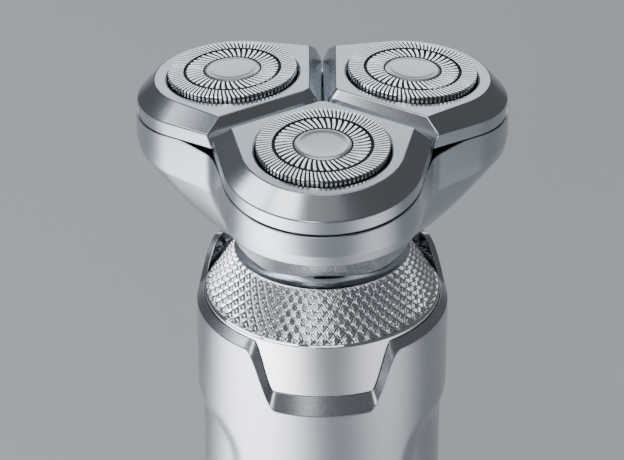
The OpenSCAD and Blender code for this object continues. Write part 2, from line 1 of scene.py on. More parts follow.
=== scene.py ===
"""Looks of a rotary electric shaver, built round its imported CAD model.

Every piece is made in the frame of the CAD model, from points in millimetres that new_object turns
into metres. Outer sizes come from the CAD model's boxes and joints where it has them. The other sizes
are named where they are used.
"""

import json
import math

import bmesh
import bpy
from mathutils import Matrix, Vector


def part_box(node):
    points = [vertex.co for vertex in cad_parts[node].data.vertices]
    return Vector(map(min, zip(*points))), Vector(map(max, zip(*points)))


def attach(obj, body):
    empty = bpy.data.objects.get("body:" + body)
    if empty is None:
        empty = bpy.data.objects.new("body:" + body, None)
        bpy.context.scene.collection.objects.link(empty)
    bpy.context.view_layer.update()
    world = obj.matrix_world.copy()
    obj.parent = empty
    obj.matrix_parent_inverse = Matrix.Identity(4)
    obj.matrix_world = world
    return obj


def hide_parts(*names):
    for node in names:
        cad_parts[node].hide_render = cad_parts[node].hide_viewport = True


MM = 0.001
TAU = 2 * math.pi

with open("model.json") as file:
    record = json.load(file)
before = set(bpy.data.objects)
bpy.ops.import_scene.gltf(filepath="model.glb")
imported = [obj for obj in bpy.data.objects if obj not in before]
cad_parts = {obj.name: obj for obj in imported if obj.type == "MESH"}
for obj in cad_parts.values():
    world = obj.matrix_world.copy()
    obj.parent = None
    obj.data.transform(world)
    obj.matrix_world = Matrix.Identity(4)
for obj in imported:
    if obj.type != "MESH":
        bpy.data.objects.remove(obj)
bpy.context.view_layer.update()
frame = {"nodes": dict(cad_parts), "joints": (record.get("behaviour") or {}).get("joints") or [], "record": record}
nodes = frame["nodes"]
record = frame["record"]
joints = {joint["name"]: joint for joint in frame["joints"]}
LOBES = ("front", "right", "left")


# ---------- small helpers ----------

def low(node, axis):
    """A node's lowest coordinate along an axis, in millimetres."""
    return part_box(node)[0][axis] / MM


def high(node, axis):
    """A node's highest coordinate along an axis, in millimetres."""
    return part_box(node)[1][axis] / MM


def smooth(t):
    """An S curve from 0 to 1."""
    t = min(max(t, 0.0), 1.0)
    return t * t * (3 - 2 * t)


def mix(a, b, t):
    return a + (b - a) * t


def polar(radius, angle, z):
    """A point at a radius and an angle from +X, in millimetres."""
    return (radius * math.cos(angle), radius * math.sin(angle), z)


# ---------- meshes ----------

def new_object(name, points, faces, shade_faces=()):
    """A mesh object from points in millimetres. Faces listed in the last argument take the second material, which
    is painted shade.
    """
    mesh = bpy.data.meshes.new(name)
    mesh.from_pydata([Vector(p) * MM for p in points], [], faces)
    mesh.validate()
    for index in shade_faces:
        mesh.polygons[index].material_index = 1
    piece = bpy.data.objects.new(name, mesh)
    bpy.context.scene.collection.objects.link(piece)
    return piece


def ring_faces(rows, columns, closed_rows):
    """Faces of a grid whose columns go round and whose rows may close on themselves too."""
    faces = []
    for row in range(rows if closed_rows else rows - 1):
        below = row * columns
        above = (row + 1) % rows * columns
        for column in range(columns):
            beside = (column + 1) % columns
            faces.append((below + column, below + beside, above + beside, above + column))
    return faces


def loft(name, rings, closed=True, creases=(), posts=()):
    """Joins rings of equal length. Creases are ring numbers and posts column numbers, which get a bevel."""
    columns = len(rings[0])
    points = [point for ring in rings for point in ring]
    piece = new_object(name, points, ring_faces(len(rings), columns, closed))
    mesh = piece.data
    mesh.attributes.new("bevel_weight_edge", "FLOAT", "EDGE")
    weights = mesh.attributes["bevel_weight_edge"].data
    for edge in mesh.edges:
        a, b = edge.vertices
        same_ring = a // columns == b // columns
        same_column = a % columns == b % columns
        if same_ring and a // columns in creases or same_column and a % columns in posts:
            weights[edge.index].value = 1.0
    return piece


def lathe(name, profile, steps=192, closed=True, creases=None):
    """A profile of (radius, height) points in millimetres, turned about Z. Its corners get the bevel."""
    rings = [[polar(r, TAU * i / steps, z) for i in range(steps)] for r, z in profile]
    if creases is None:
        creases = range(len(profile))
    return loft(name, rings, closed, creases)


def cut(piece, cutter):
    """Takes the cutter's space out of the piece, and removes the cutter."""
    step = piece.modifiers.new("cut", "BOOLEAN")
    step.object = cutter
    step.operation = "DIFFERENCE"
    step.solver = "EXACT"
    apply_modifiers(piece)
    bpy.data.objects.remove(cutter)


def apply_modifiers(piece):
    bpy.context.view_layer.update()
    shape = piece.evaluated_get(bpy.context.evaluated_depsgraph_get())
    made = bpy.data.meshes.new_from_object(shape)
    piece.modifiers.clear()
    piece.data = made


def outward(piece):
    """Turns every face to point out of the solid."""
    work = bmesh.new()
    work.from_mesh(piece.data)
    bmesh.ops.recalc_face_normals(work, faces=work.faces)
    work.to_mesh(piece.data)
    work.free()


def soften(piece, width, sharp=35, segments=3):
    """Bevels the marked edges by a width in millimetres and shades the rest smooth."""
    outward(piece)
    piece.data.shade_smooth()
    piece.data.set_sharp_from_angle(angle=math.radians(sharp))
    if width:
        bevel = piece.modifiers.new("edges", "BEVEL")
        bevel.limit_method = "WEIGHT"
        bevel.width = width * MM
        bevel.segments = segments
        bevel.use_clamp_overlap = True
        bevel.harden_normals = True
        apply_modifiers(piece)


def extruded(name, outline, z0, z1):
    """A closed outline in the XY plane drawn out from z0 to z1, with flat ends."""
    count = len(outline)
    points = [(x, y, z) for z in (z0, z1) for x, y in outline]
    sides = ring_faces(2, count, False)
    ends = [tuple(reversed(range(count))), tuple(range(count, 2 * count))]
    return new_object(name, points, sides + ends)


def pill_outline(width, height, steps=24):
    """An upright outline with round ends."""
    half = (height - width) / 2
    outline = []
    for i in range(2 * steps):
        angle = TAU * i / (2 * steps)
        lift = half if i < steps else -half
        outline.append((width / 2 * math.cos(angle), width / 2 * math.sin(angle) + lift))
    return outline


# ---------- materials ----------

def node_tree(name):
    material = bpy.data.materials.new(name)
    material.use_nodes = True
    tree = material.node_tree
    return material, tree, tree.nodes["Principled BSDF"]


def add(tree, kind, **inputs):
    """A node with some of its inputs set by name."""
    made = tree.nodes.new(kind)
    for key, value in inputs.items():
        made.inputs[key].default_value = value
    return made


def noise(tree, scale, detail=4.0, stretch=(1, 1, 1)):
    """Noise in the object's own coordinates, its scale in patches per metre."""
    place = tree.nodes.new("ShaderNodeTexCoord")
    spread = add(tree, "ShaderNodeMapping", Scale=stretch)
    pattern = add(tree, "ShaderNodeTexNoise", Scale=scale, Detail=detail)
    tree.links.new(place.outputs["Object"], spread.inputs["Vector"])
    tree.links.new(spread.outputs["Vector"], pattern.inputs["Vector"])
    return pattern.outputs["Fac"]


def remap(tree, value, low_out, high_out, low_in=0.3, high_in=0.7):
    """A value stretched from one range to another."""
    change = tree.nodes.new("ShaderNodeMapRange")
    change.inputs["From Min"].default_value = low_in
    change.inputs["From Max"].default_value = high_in
    change.inputs["To Min"].default_value = low_out
    change.inputs["To Max"].default_value = high_out
    tree.links.new(value, change.inputs["Value"])
    return change.outputs["Result"]


def tint(tree, value, dark, light):
    """A colour that runs from dark to light with a value."""
    ramp = tree.nodes.new("ShaderNodeValToRGB")
    ramp.color_ramp.elements[0].position = 0.3
    ramp.color_ramp.elements[1].position = 0.7
    ramp.color_ramp.elements[0].color = (*dark, 1)
    ramp.color_ramp.elements[1].color = (*light, 1)
    tree.links.new(value, ramp.inputs["Fac"])
    return ramp.outputs["Color"]


def bump(tree, shader, height, strength, distance):
    """Relief from a height pattern, its depth in millimetres."""
    relief = add(tree, "ShaderNodeBump", Strength=strength, Distance=distance * MM)
    tree.links.new(height, relief.inputs["Height"])
    tree.links.new(relief.outputs["Normal"], shader.inputs["Normal"])


def shaded(colour, factor):
    return tuple(min(1.0, part * factor) for part in colour)


def metal(name, colour, rough, spread=0.06, grain=9000, stretch=(1, 1, 1), strength=0.15, wear=0.06):
    """Bare metal: a slow drift of colour and polish over it, and a fine grain or brushing."""
    material, tree, shader = node_tree(name)
    shader.inputs["Metallic"].default_value = 1.0
    drift = noise(tree, 45, 3)
    fine = noise(tree, grain, 2, stretch)
    colours = tint(tree, drift, shaded(colour, 1 - wear), shaded(colour, 1 + wear))
    tree.links.new(colours, shader.inputs["Base Color"])
    polish = tree.nodes.new("ShaderNodeMath")
    polish.operation = "ADD"
    tree.links.new(remap(tree, drift, rough - spread / 2, rough + spread / 2), polish.inputs[0])
    tree.links.new(remap(tree, fine, -spread / 2, spread / 2), polish.inputs[1])
    tree.links.new(polish.outputs["Value"], shader.inputs["Roughness"])
    bump(tree, shader, fine, strength, 0.01)
    return material


def plastic(name, colour, rough, grain=2500, strength=0.2, coat=0.0, spread=0.08):
    """Moulded plastic or rubber: spark-eroded grain and a slight drift of tone."""
    material, tree, shader = node_tree(name)
    shader.inputs["Coat Weight"].default_value = coat
    drift = noise(tree, 60, 3)
    fine = noise(tree, grain, 3)
    colours = tint(tree, drift, shaded(colour, 0.88), shaded(colour, 1.12))
    tree.links.new(colours, shader.inputs["Base Color"])
    tree.links.new(remap(tree, fine, rough - spread, rough + spread), shader.inputs["Roughness"])
    bump(tree, shader, fine, strength, 0.03)
    return material


def slot_colours():
    return {entry["slot"]: tuple(entry["base_color"]) for entry in record["materials"]}


def make_materials():
    """One procedural material for each slot of the record."""
    colour = slot_colours()
    turned = (1, 1, 40)
    made = {
        "shell_metal": metal("shell_metal", colour["shell_metal"], 0.25, 0.05, 7000, strength=0.06),
        "head_metal": metal("head_metal", colour["head_metal"], 0.23, 0.05, 7000, strength=0.06),
        "mirror_chrome": metal(
            "mirror_chrome", colour["mirror_chrome"], 0.06, 0.03, 4000, strength=0.02, wear=0.02,
        ),
        "knurl_chrome": metal("knurl_chrome", colour["knurl_chrome"], 0.14, 0.06, 8000, strength=0.05),
        "foil_steel": metal("foil_steel", colour["foil_steel"], 0.16, 0.06, 9000, strength=0.06),
        "boss_steel": metal("boss_steel", colour["boss_steel"], 0.3, 0.06, 9000, (1, 6, 1), 0.12),
        "cutter_steel": metal("cutter_steel", colour["cutter_steel"], 0.3, 0.08, 3000, (1, 12, 1)),
        "fastener_steel": metal("fastener_steel", colour["fastener_steel"], 0.34, 0.1, 5000),
        "motor_steel": metal("motor_steel", colour["motor_steel"], 0.28, 0.08, 1500, turned),
        "core_metal": metal("core_metal", colour["core_metal"], 0.5, 0.12, 900, turned, 0.3),
        "spring_steel": metal("spring_steel", colour["spring_steel"], 0.3, 0.08, 4000),
        "bronze": metal("bronze", colour["bronze"], 0.36, 0.12, 3000, strength=0.3),
        "frame_plastic": plastic("frame_plastic", colour["frame_plastic"], 0.48),
        "gear_plastic": plastic("gear_plastic", colour["gear_plastic"], 0.4, 1800, 0.1),
        "board_green": plastic("board_green", colour["board_green"], 0.36, 900, 0.12, 0.4),
        "cell_wrap": plastic("cell_wrap", colour["cell_wrap"], 0.24, 700, 0.08, 0.5),
        "lens": plastic("lens", colour["lens"], 0.2, 1500, 0.05, 0.8),
        "seal_rubber": plastic("seal_rubber", colour["seal_rubber"], 0.66, 3500, 0.3),
    }
    # painted shade: a near-black material for the disc's slot floors and groove rings, where the real slots open
    # onto the dark inside of the head
    made["shadow"] = plastic("shadow", (0.012, 0.012, 0.014), 0.7, 3000, 0.2)
    return made


MATERIALS = make_materials()


def finish_piece(piece, body, replaced, slot, second=None):
    """Gives a piece its material and its body, and hides the CAD nodes it stands for."""
    piece.data.materials.append(MATERIALS[slot])
    if second:
        piece.data.materials.append(MATERIALS[second])
    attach(piece, body)
    if replaced:
        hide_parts(*replaced)
    return piece


# ---------- the handle ----------

HANDLE_R = high("body_shell", 0)
SLEEVE_LOW = low("body_shell", 2)
COLLAR_R = high("chrome_collar", 0)
COLLAR_LOW = low("chrome_collar", 2)
COLLAR_TOP = high("chrome_collar", 2)
BUTTON_Z = (low("power_button", 2) + high("power_button", 2)) / 2
BUTTON_R = (high("power_button", 0) - low("power_button", 0)) / 2
LENS_Z = (low("indicator_lens", 2) + high("indicator_lens", 2)) / 2

RIM_IN_R = COLLAR_R + 0.1
BORE_R = 20.25
COLLAR_BORE_R = 19.6
HOLE_NEAR, HOLE_FAR = 18, 26
FRONT = -math.pi / 2


def from_front(angle):
    """Degrees round the handle from the front, whichever side."""
    turn = (angle - FRONT + math.pi) % TAU - math.pi
    return abs(math.degrees(turn))


def rim_height(angle, level, rise, drop, notch_end, notch_start):
    """The rim's height: level in front but for the notch, and rising behind the sides."""
    side = from_front(angle)
    up = rise * smooth((side - 97) / 25)
    down = drop * smooth((notch_start - side) / (notch_start - notch_end))
    return level + up - down


def rim_outer(angle):
    return rim_height(angle, COLLAR_TOP - 2.5, rise=6.2, drop=11.3, notch_end=21.3, notch_start=37.5)


def rim_inner(angle):
    return rim_height(angle, COLLAR_TOP - 0.9, rise=4.9, drop=9.4, notch_end=24.0, notch_start=34.5)


def recess_depth(angle, z):
    """Depth of the two shallow grip recesses: 1 mm, with a wide soft border."""
    half_w, half_h, corner, border = 20.5, 33.7, 9.0, 4.6
    middle_z = 67.7
    across = abs(math.radians(from_front(angle) - 90)) * HANDLE_R
    along = abs(z - middle_z)
    over = (max(across - half_w + corner, 0), max(along - half_h + corner, 0))
    edge = min(max(across - half_w, along - half_h) + corner, 0)
    inside = corner - math.hypot(*over) - edge
    t = min(max(inside / border, 0.0), 1.0)
    return 0.25 * t + 0.75 * smooth(t) if t < 1 else 1.0


def build_sleeve():
    """The metal sleeve with its sloping rim, front notch and grip recesses, and a bright inner wall."""
    columns, rows = 420, 108
    edge = 0.25
    angles = [TAU * i / columns for i in range(columns)]
    outer = []
    for row in range(rows + 1):
        ring = []
        for a in angles:
            z = mix(SLEEVE_LOW + edge, rim_outer(a), row / rows)
            ring.append(polar(HANDLE_R - recess_depth(a, z), a, z))
        outer.append(ring)
    inner = [
        [polar(RIM_IN_R, a, rim_inner(a)) for a in angles],
        [polar(RIM_IN_R, a, rim_inner(a) - 2.5) for a in angles],
        [polar(RIM_IN_R, a, COLLAR_LOW) for a in angles],
        [polar(BORE_R, a, COLLAR_LOW) for a in angles],
        [polar(BORE_R, a, SLEEVE_LOW) for a in angles],
    ]
    foot = [[polar(HANDLE_R - edge, a, SLEEVE_LOW) for a in angles]]
    sleeve = loft("sleeve", outer + inner + foot, True, {rows, rows + 1})
    soften(sleeve, 0.16, 22, 2)
    cut(sleeve, along_front(extruded("hole", circle_outline(BUTTON_R + 1.45), HOLE_NEAR, HOLE_FAR), BUTTON_Z))
    cut(sleeve, along_front(extruded("hole", pill_outline(2.8, 12), HOLE_NEAR, HOLE_FAR), LENS_Z))
    for face in sleeve.data.polygons:
        spots = [sleeve.data.vertices[v].co for v in face.vertices]
        face.material_index = int(all(math.hypot(*spot.xy) < (RIM_IN_R + 0.01) * MM for spot in spots))
    finish_piece(sleeve, "handle", ["body_shell"], "shell_metal", "mirror_chrome")


def circle_outline(radius, steps=96):
    return [(radius * math.cos(TAU * i / steps), radius * math.sin(TAU * i / steps)) for i in range(steps)]


def along_front(piece, z):
    """Turns a piece made along +Z so that it looks out of the handle's front at a height."""
    turn = Matrix.Translation((0, 0, z * MM)) @ Matrix.Rotation(math.pi / 2, 4, "X")
    piece.data.transform(turn)
    return piece


def build_button():
    """The dished power button in its bright ring."""
    face = -low("power_button", 1)
    r, root = BUTTON_R, 19.8
    dish = [(r * t, face - 0.55 * (1 - t * t) - 0.06) for t in (0.04, 0.2, 0.35, 0.5, 0.65, 0.8, 0.9)]
    side = [(r, root), (r, face - 0.12), (r - 0.1, face)]
    button = lathe("button", side + dish[::-1], 128, False, {1, 2})
    close_hole(button)
    soften(along_front(button, BUTTON_Z), 0.08)
    finish_piece(button, "button", ["power_button"], "boss_steel")
    outer, top, back = high("button_bezel", 0), -low("button_bezel", 1), 20
    profile = [
        (outer, back), (outer, top - 0.2), (outer - 0.35, top),
        (r + 0.55, top), (r + 0.3, top - 0.3), (r + 0.3, back),
    ]
    bezel = lathe("button_ring", profile, 128, True)
    soften(along_front(bezel, BUTTON_Z), 0.07)
    finish_piece(bezel, "handle", ["button_bezel"], "mirror_chrome")


def close_hole(piece):
    """Fills every open ring of edges."""
    work = bmesh.new()
    work.from_mesh(piece.data)
    bmesh.ops.holes_fill(work, edges=[e for e in work.edges if e.is_boundary], sides=0)
    work.to_mesh(piece.data)
    work.free()


def build_lens():
    """The frosted window over the charge lights, slightly crowned."""
    face = -low("indicator_lens", 1)
    rings = []
    for inset, height in ((0, 16), (0, face - 0.35), (0.08, face - 0.12), (0.4, face - 0.03), (1.0, face)):
        rings.append([(x, y, height) for x, y in pill_outline(2.6 - 2 * inset, 11.8 - 2 * inset)])
    lens = loft("charge_window", rings, False)
    close_hole(lens)
    soften(along_front(lens, LENS_Z), 0, 50)
    finish_piece(lens, "handle", ["indicator_lens"], "lens")


def build_collar():
    """The mirror band under the knurl."""
    top, foot = COLLAR_TOP, COLLAR_LOW
    edge = 0.35
    profile = [
        (COLLAR_R, foot), (COLLAR_R, top - edge), (COLLAR_R - edge, top),
        (COLLAR_BORE_R, top), (COLLAR_BORE_R, foot),
    ]
    collar = lathe("mirror_band", profile, 256)
    soften(collar, 0.12, 30)
    finish_piece(collar, "handle", ["chrome_collar"], "mirror_chrome")


def build_knurl():
    """The cone of raised diamonds, sixty round, each with a flat top and sloping sides."""
    around, rows, fine = 60, 3.75, 16
    depth = 0.5
    top_r, foot_r = high("neck_ring", 0) + 0.05, high("knurled_collar", 0)
    top_z, foot_z = high("knurled_collar", 2), low("knurled_collar", 2)
    steps = int(rows * fine)
    rings = []
    for row in range(steps + 1):
        t = row / steps
        ring = []
        for i in range(around * fine):
            u, v = i / fine, t * rows
            a = abs((u + v) % 1 - 0.5) * 2
            b = abs((u - v) % 1 - 0.5) * 2
            lift = depth * smooth((1 - max(a, b)) / 0.7)
            border = smooth(min(t, 1 - t) * steps / 2)
            drop = (depth - lift) * border
            r = mix(top_r, foot_r, t) - drop * 0.85
            ring.append(polar(r, TAU * i / (around * fine), mix(top_z, foot_z, t) - drop * 0.5))
        rings.append(ring)
    angles = [TAU * i / (around * fine) for i in range(around * fine)]
    rings.append([polar(foot_r - 1.2, a, foot_z) for a in angles])
    rings.append([polar(top_r - 1.6, a, top_z - 0.8) for a in angles])
    rings.append([polar(top_r - 1.6, a, top_z) for a in angles])
    knurl = loft("knurled_ring", rings)
    soften(knurl, 0, 60)
    finish_piece(knurl, "handle", ["knurled_collar"], "knurl_chrome")


def build_neck():
    """The bright flared ring under the head, with the release slot in front."""
    top, foot = high("neck_ring", 2), low("neck_ring", 2)
    foot_r = high("neck_ring", 0)
    neck_r = foot_r - 2.8
    bore_r = 11.4
    profile = [(bore_r, foot), (bore_r, top), (neck_r, top)]
    steps = 14
    for i in range(1, steps + 1):
        t = i / steps
        profile.append((mix(neck_r, foot_r, t), mix(foot + 0.1, top, (1 - t) ** 3)))
    profile.append((foot_r, foot))
    neck = lathe("neck_flare", profile, 256, True, {2})
    soften(neck, 0.1, 40)
    slot_x, slot_half, clear_y, slot_y = 1.2, 2.7, -20, 1.1 - neck_r
    left, right = slot_x - slot_half, slot_x + slot_half
    corners = [(left, clear_y), (right, clear_y), (right, slot_y), (left, slot_y)]
    cut(neck, extruded("hole", corners, top - 0.72, top - 0.36))
    finish_piece(neck, "handle", ["neck_ring"], "knurl_chrome")


# ---------- the head ----------

# the disc centres lie this far above the tilt hinges, square to the plates
HINGE_DROP = 3.9 * MM
FRONT_AXIS = Vector(joints["front_cutter_spin"]["axis"]).normalized()
FRONT_CENTRE = Vector(joints["front_tilt"]["pos_m"]) + FRONT_AXIS * HINGE_DROP
DISC_UP = FRONT_CENTRE.z
LOBE_R = math.hypot(*FRONT_CENTRE.xy) / MM
LOBE_TILT = math.acos(FRONT_AXIS.z)

PLATE_R = 13.8
BAND_R = 17.1
HALF_ARC = math.radians(78)
ARC_STEPS = 60
TANGENT_STEPS = 6
GROOVE_HALF = 2.3
GROOVE_SLOPE = math.tan(math.radians(21))
TIP_R = 2.0
CREASE_R = 5.0
BAND_FALL = 3.4
DISC_LIFT = 0.95


def lobe_frame(name):
    """The lobe's own frame: origin at the disc centre on the plate, +Y outward, +Z out of the plate."""
    spin = joints[f"{name}_cutter_spin"]
    up = Vector(spin["axis"]).normalized()
    point = Vector(spin["pos_m"])
    side = up.cross(Vector((0, 0, 1))).normalized()
    out = up.cross(side)
    centre = point + up * (DISC_UP - point.z) / up.z
    turn = Matrix((side, out, up)).transposed().to_4x4()
    return Matrix.Translation(centre) @ turn


def cover_outline(radius, gap, wall_steps=10, tip_steps=10):
    """One lobe's outline at one level: arc, tangent line, groove wall, and the round tip near the axis."""
    s, c = math.sin(HALF_ARC), math.cos(HALF_ARC)
    wall_c = math.cos(math.pi / 6)
    corner_y = (gap - LOBE_R * wall_c + 0.5 * radius / s) / (0.5 * c / s + wall_c)
    corner = Vector(((radius - corner_y * c) / s, corner_y))
    tip_y = -LOBE_R + gap / math.cos(math.pi / 6)
    round_y = tip_y + TIP_R / math.sin(math.pi / 3)
    tip_angles = [mix(-math.pi / 3, -math.pi / 2, i / tip_steps) for i in range(tip_steps + 1)]
    half = [Vector((radius * math.sin(t), radius * math.cos(t)))
            for t in (HALF_ARC * i / ARC_STEPS for i in range(ARC_STEPS + 1))]
    arc_end = half[-1]
    half += [arc_end.lerp(corner, i / TANGENT_STEPS) for i in range(1, TANGENT_STEPS + 1)]
    tip = [Vector((TIP_R * math.cos(t), round_y + TIP_R * math.sin(t))) for t in tip_angles]
    half += [corner.lerp(tip[0], i / wall_steps) for i in range(1, wall_steps)]
    half += tip
    return half + [Vector((-p.x, p.y)) for p in half[-2:0:-1]]


def falling(outline, drop, fall):
    """The outline laid on a plane that is drop below the plate at the band and rises inward."""
    return [(p.x, p.y, -drop + (BAND_R - p.y) * math.tan(math.radians(fall))) for p in outline]


def inset_points(points, amount):
    """Pulls a ring of points in towards the lobe's middle."""
    made = []
    for x, y, z in points:
        reach = math.hypot(x, y)
        made.append((x * (reach - amount) / reach, y * (reach - amount) / reach, z))
    return made


def hole_ring(outline, radius, z):
    """A circle's points in the same directions as an outline's."""
    made = []
    for p in outline:
        angle = math.atan2(p[1], p[0])
        made.append((radius * math.cos(angle), radius * math.sin(angle), z))
    return made


def build_cover(name):
    """A lobe's metal cover: flat plate, chamfer, band and the groove walls."""
    hole_r, rim, thick = 11.62, 0.3, 1.2
    plate = cover_outline(PLATE_R, GROOVE_HALF)
    top = [(p.x, p.y, 0) for p in plate]
    shoulder = falling(cover_outline(BAND_R, GROOVE_HALF - 2.75 * GROOVE_SLOPE), 3.4, 3.15)
    hem = falling(cover_outline(BAND_R, GROOVE_HALF - 5.3 * GROOVE_SLOPE), 6.0, BAND_FALL)
    lip = inset_points(hem, 1.0)
    rings = [
        hole_ring(top, hole_r, -rim), hole_ring(top, hole_r + rim, 0), top, shoulder, hem, lip,
        [(x, y, -thick) for x, y, z in inset_points(top, 1.0)], hole_ring(top, hole_r, -thick),
    ]
    columns = len(top)
    corner = ARC_STEPS + TANGENT_STEPS
    corners = {corner, columns - corner}
    cover = loft(f"{name}_lobe_cover", rings, True, {1, 2, 3, 4}, corners)
    soften(cover, 0.2, 24)
    cover.data.transform(lobe_frame(name))
    finish_piece(cover, f"{name}_lobe", [f"{name}_cover"], "head_metal")


def build_disc(name):
    """The slotted steel disc: two rings of slanted bars with a groove between them, and toothed sides; slot floors
    and grooves take painted shade.
    """
    disc = slotted_disc(f"{name}_slotted_disc", DISC_LIFT)
    disc.data.transform(lobe_frame(name))
    finish_piece(disc, f"{name}_disc", [f"{name}_cap"], "foil_steel", "shadow")
    boss_r, crown_r, edge_up = 4.85, 4.15, DISC_LIFT - 0.02
    profile = [(boss_r, -0.2), (boss_r, edge_up)]
    profile += [(mix(boss_r, crown_r, t), edge_up + 0.2 * math.sin(t * math.pi / 2)) for t in (0.3, 0.6, 1)]
    profile += [(r, DISC_LIFT + up) for r, up in ((4.0, 0.12), (3.2, 0.09), (2, 0.07), (0.3, 0.06))]
    boss = lathe(f"{name}_disc_boss", profile, 128, False, ())
    close_hole(boss)
    soften(boss, 0, 40)
    boss.data.transform(lobe_frame(name))
    finish_piece(boss, f"{name}_disc", [f"{name}_cap_boss"], "boss_steel")


def bar_columns(count, bar=0.5):
    """Angles round a slotted ring, four for each slot, with whether each is on a bar or in a slot."""
    made = []
    for i in range(count):
        for share, raised in ((0.0, True), (bar, True), (bar + 0.06, False), (0.94, False)):
            made.append((TAU * (i + share) / count, raised))
    return made


def slotted_ring(points, faces, shade_faces, count, radii, slant, level, depth, side=None):
    """Adds one ring of bars. Radii run outward; side is how far the outer wall goes down."""
    columns = bar_columns(count)
    stations = [(r, 0.0) for r in radii]
    if side:
        stations += [(radii[-1] + 0.12, 0.14), (radii[-1] + 0.14, side)]
    start = len(points)
    for r, down in stations:
        turn = slant * (r - radii[0]) / (radii[-1] - radii[0])
        for angle, raised in columns:
            if raised:
                points.append(polar(r, angle + turn, level - down))
            elif down:
                points.append(polar(r - 0.35, angle + turn, level - max(down, depth * 0.9)))
            else:
                points.append(polar(r, angle + turn, level - depth))
    width = len(columns)
    for row in range(len(stations) - 1):
        for column in range(width):
            beside = (column + 1) % width
            below, above = start + row * width, start + (row + 1) * width
            faces.append((below + column, above + column, above + beside, below + beside))
            # faces between two slot columns take the shadow material: painted shade on the slot floors and down
            # the toothed side
            if not columns[column][1] and not columns[beside][1]:
                shade_faces.append(len(faces) - 1)
    return start, width


def slotted_disc(name, level):
    points, faces, shade_faces = [], [], []
    outer = [8.65, 8.8, 9.4, 10.2, 11.0, 11.25]
    inner = [5.15, 5.3, 6.2, 7.2, 7.9, 8.05]
    slotted_ring(points, faces, shade_faces, 45, inner, math.radians(6.6), level, 0.5)
    slotted_ring(points, faces, shade_faces, 90, outer, math.radians(3.6), level, 0.5, 2.2)
    add_wall(points, faces, shade_faces, 7.9, 8.75, level - 0.5)
    add_wall(points, faces, shade_faces, 4.9, 5.25, level - 0.3)
    return shaded_disc(name, points, faces, shade_faces)


def add_wall(points, faces, shade_faces, inner_r, outer_r, z, steps=120):
    """A flat ring of painted shade that closes a groove."""
    start = len(points)
    for r in (inner_r, outer_r):
        points.extend(polar(r, TAU * i / steps, z) for i in range(steps))
    for i in range(steps):
        j = (i + 1) % steps
        faces.append((start + i, start + steps + i, start + steps + j, start + j))
        shade_faces.append(len(faces) - 1)


def shaded_disc(name, points, faces, shade_faces):
    disc = new_object(name, points, faces, shade_faces)
    disc.data.shade_smooth()
    disc.data.set_sharp_from_angle(angle=math.radians(30))
    return disc


def off_lobe(angle):
    """How far a direction from +X is off the middle of the nearest lobe, in radians."""
    return abs((angle - FRONT + math.pi / 3) % (TAU / 3) - math.pi / 3)


def base_radius(angle):
    """Radius of the head base's upright wall in a direction from +X: three arcs with rounded creases."""
    delta = off_lobe(angle)
    s, c = math.sin(HALF_ARC), math.cos(HALF_ARC)
    distance = BAND_R + LOBE_R * c
    centre = (distance + CREASE_R) / math.cos(math.pi / 3 - HALF_ARC)
    arc = LOBE_R * math.cos(delta) + math.sqrt(max(BAND_R ** 2 - (LOBE_R * math.sin(delta)) ** 2, 0))
    local = math.atan2(arc * math.sin(delta), arc * math.cos(delta) - LOBE_R)
    if local < HALF_ARC:
        return arc
    touch_x = centre * math.cos(math.pi / 3) - CREASE_R * c
    touch_y = centre * math.sin(math.pi / 3) - CREASE_R * s
    if delta < math.atan2(touch_y, touch_x):
        return distance / math.cos(delta - HALF_ARC)
    off = math.pi / 3 - delta
    return centre * math.cos(off) - math.sqrt(CREASE_R ** 2 - (centre * math.sin(off)) ** 2)


def base_rim(angle, radius):
    """Height of the base's top edge in a direction: along the seam, dipping towards each crease."""
    y = radius * math.cos(off_lobe(angle)) - LOBE_R
    drop = -6.1 + (BAND_R - y) * math.tan(math.radians(BAND_FALL))
    drop -= max(0.0, 1.0 - y) ** 1.3 * 0.1
    return DISC_UP / MM + drop * math.cos(LOBE_TILT) - y * math.sin(LOBE_TILT)


def bowl_power(angle):
    """How full the bowl is in a direction: fuller on the lobes' flanks than at their middles."""
    middle, extra, flank_at = 1.2, 0.48, 38
    return middle + extra * smooth(math.degrees(off_lobe(angle)) / flank_at)


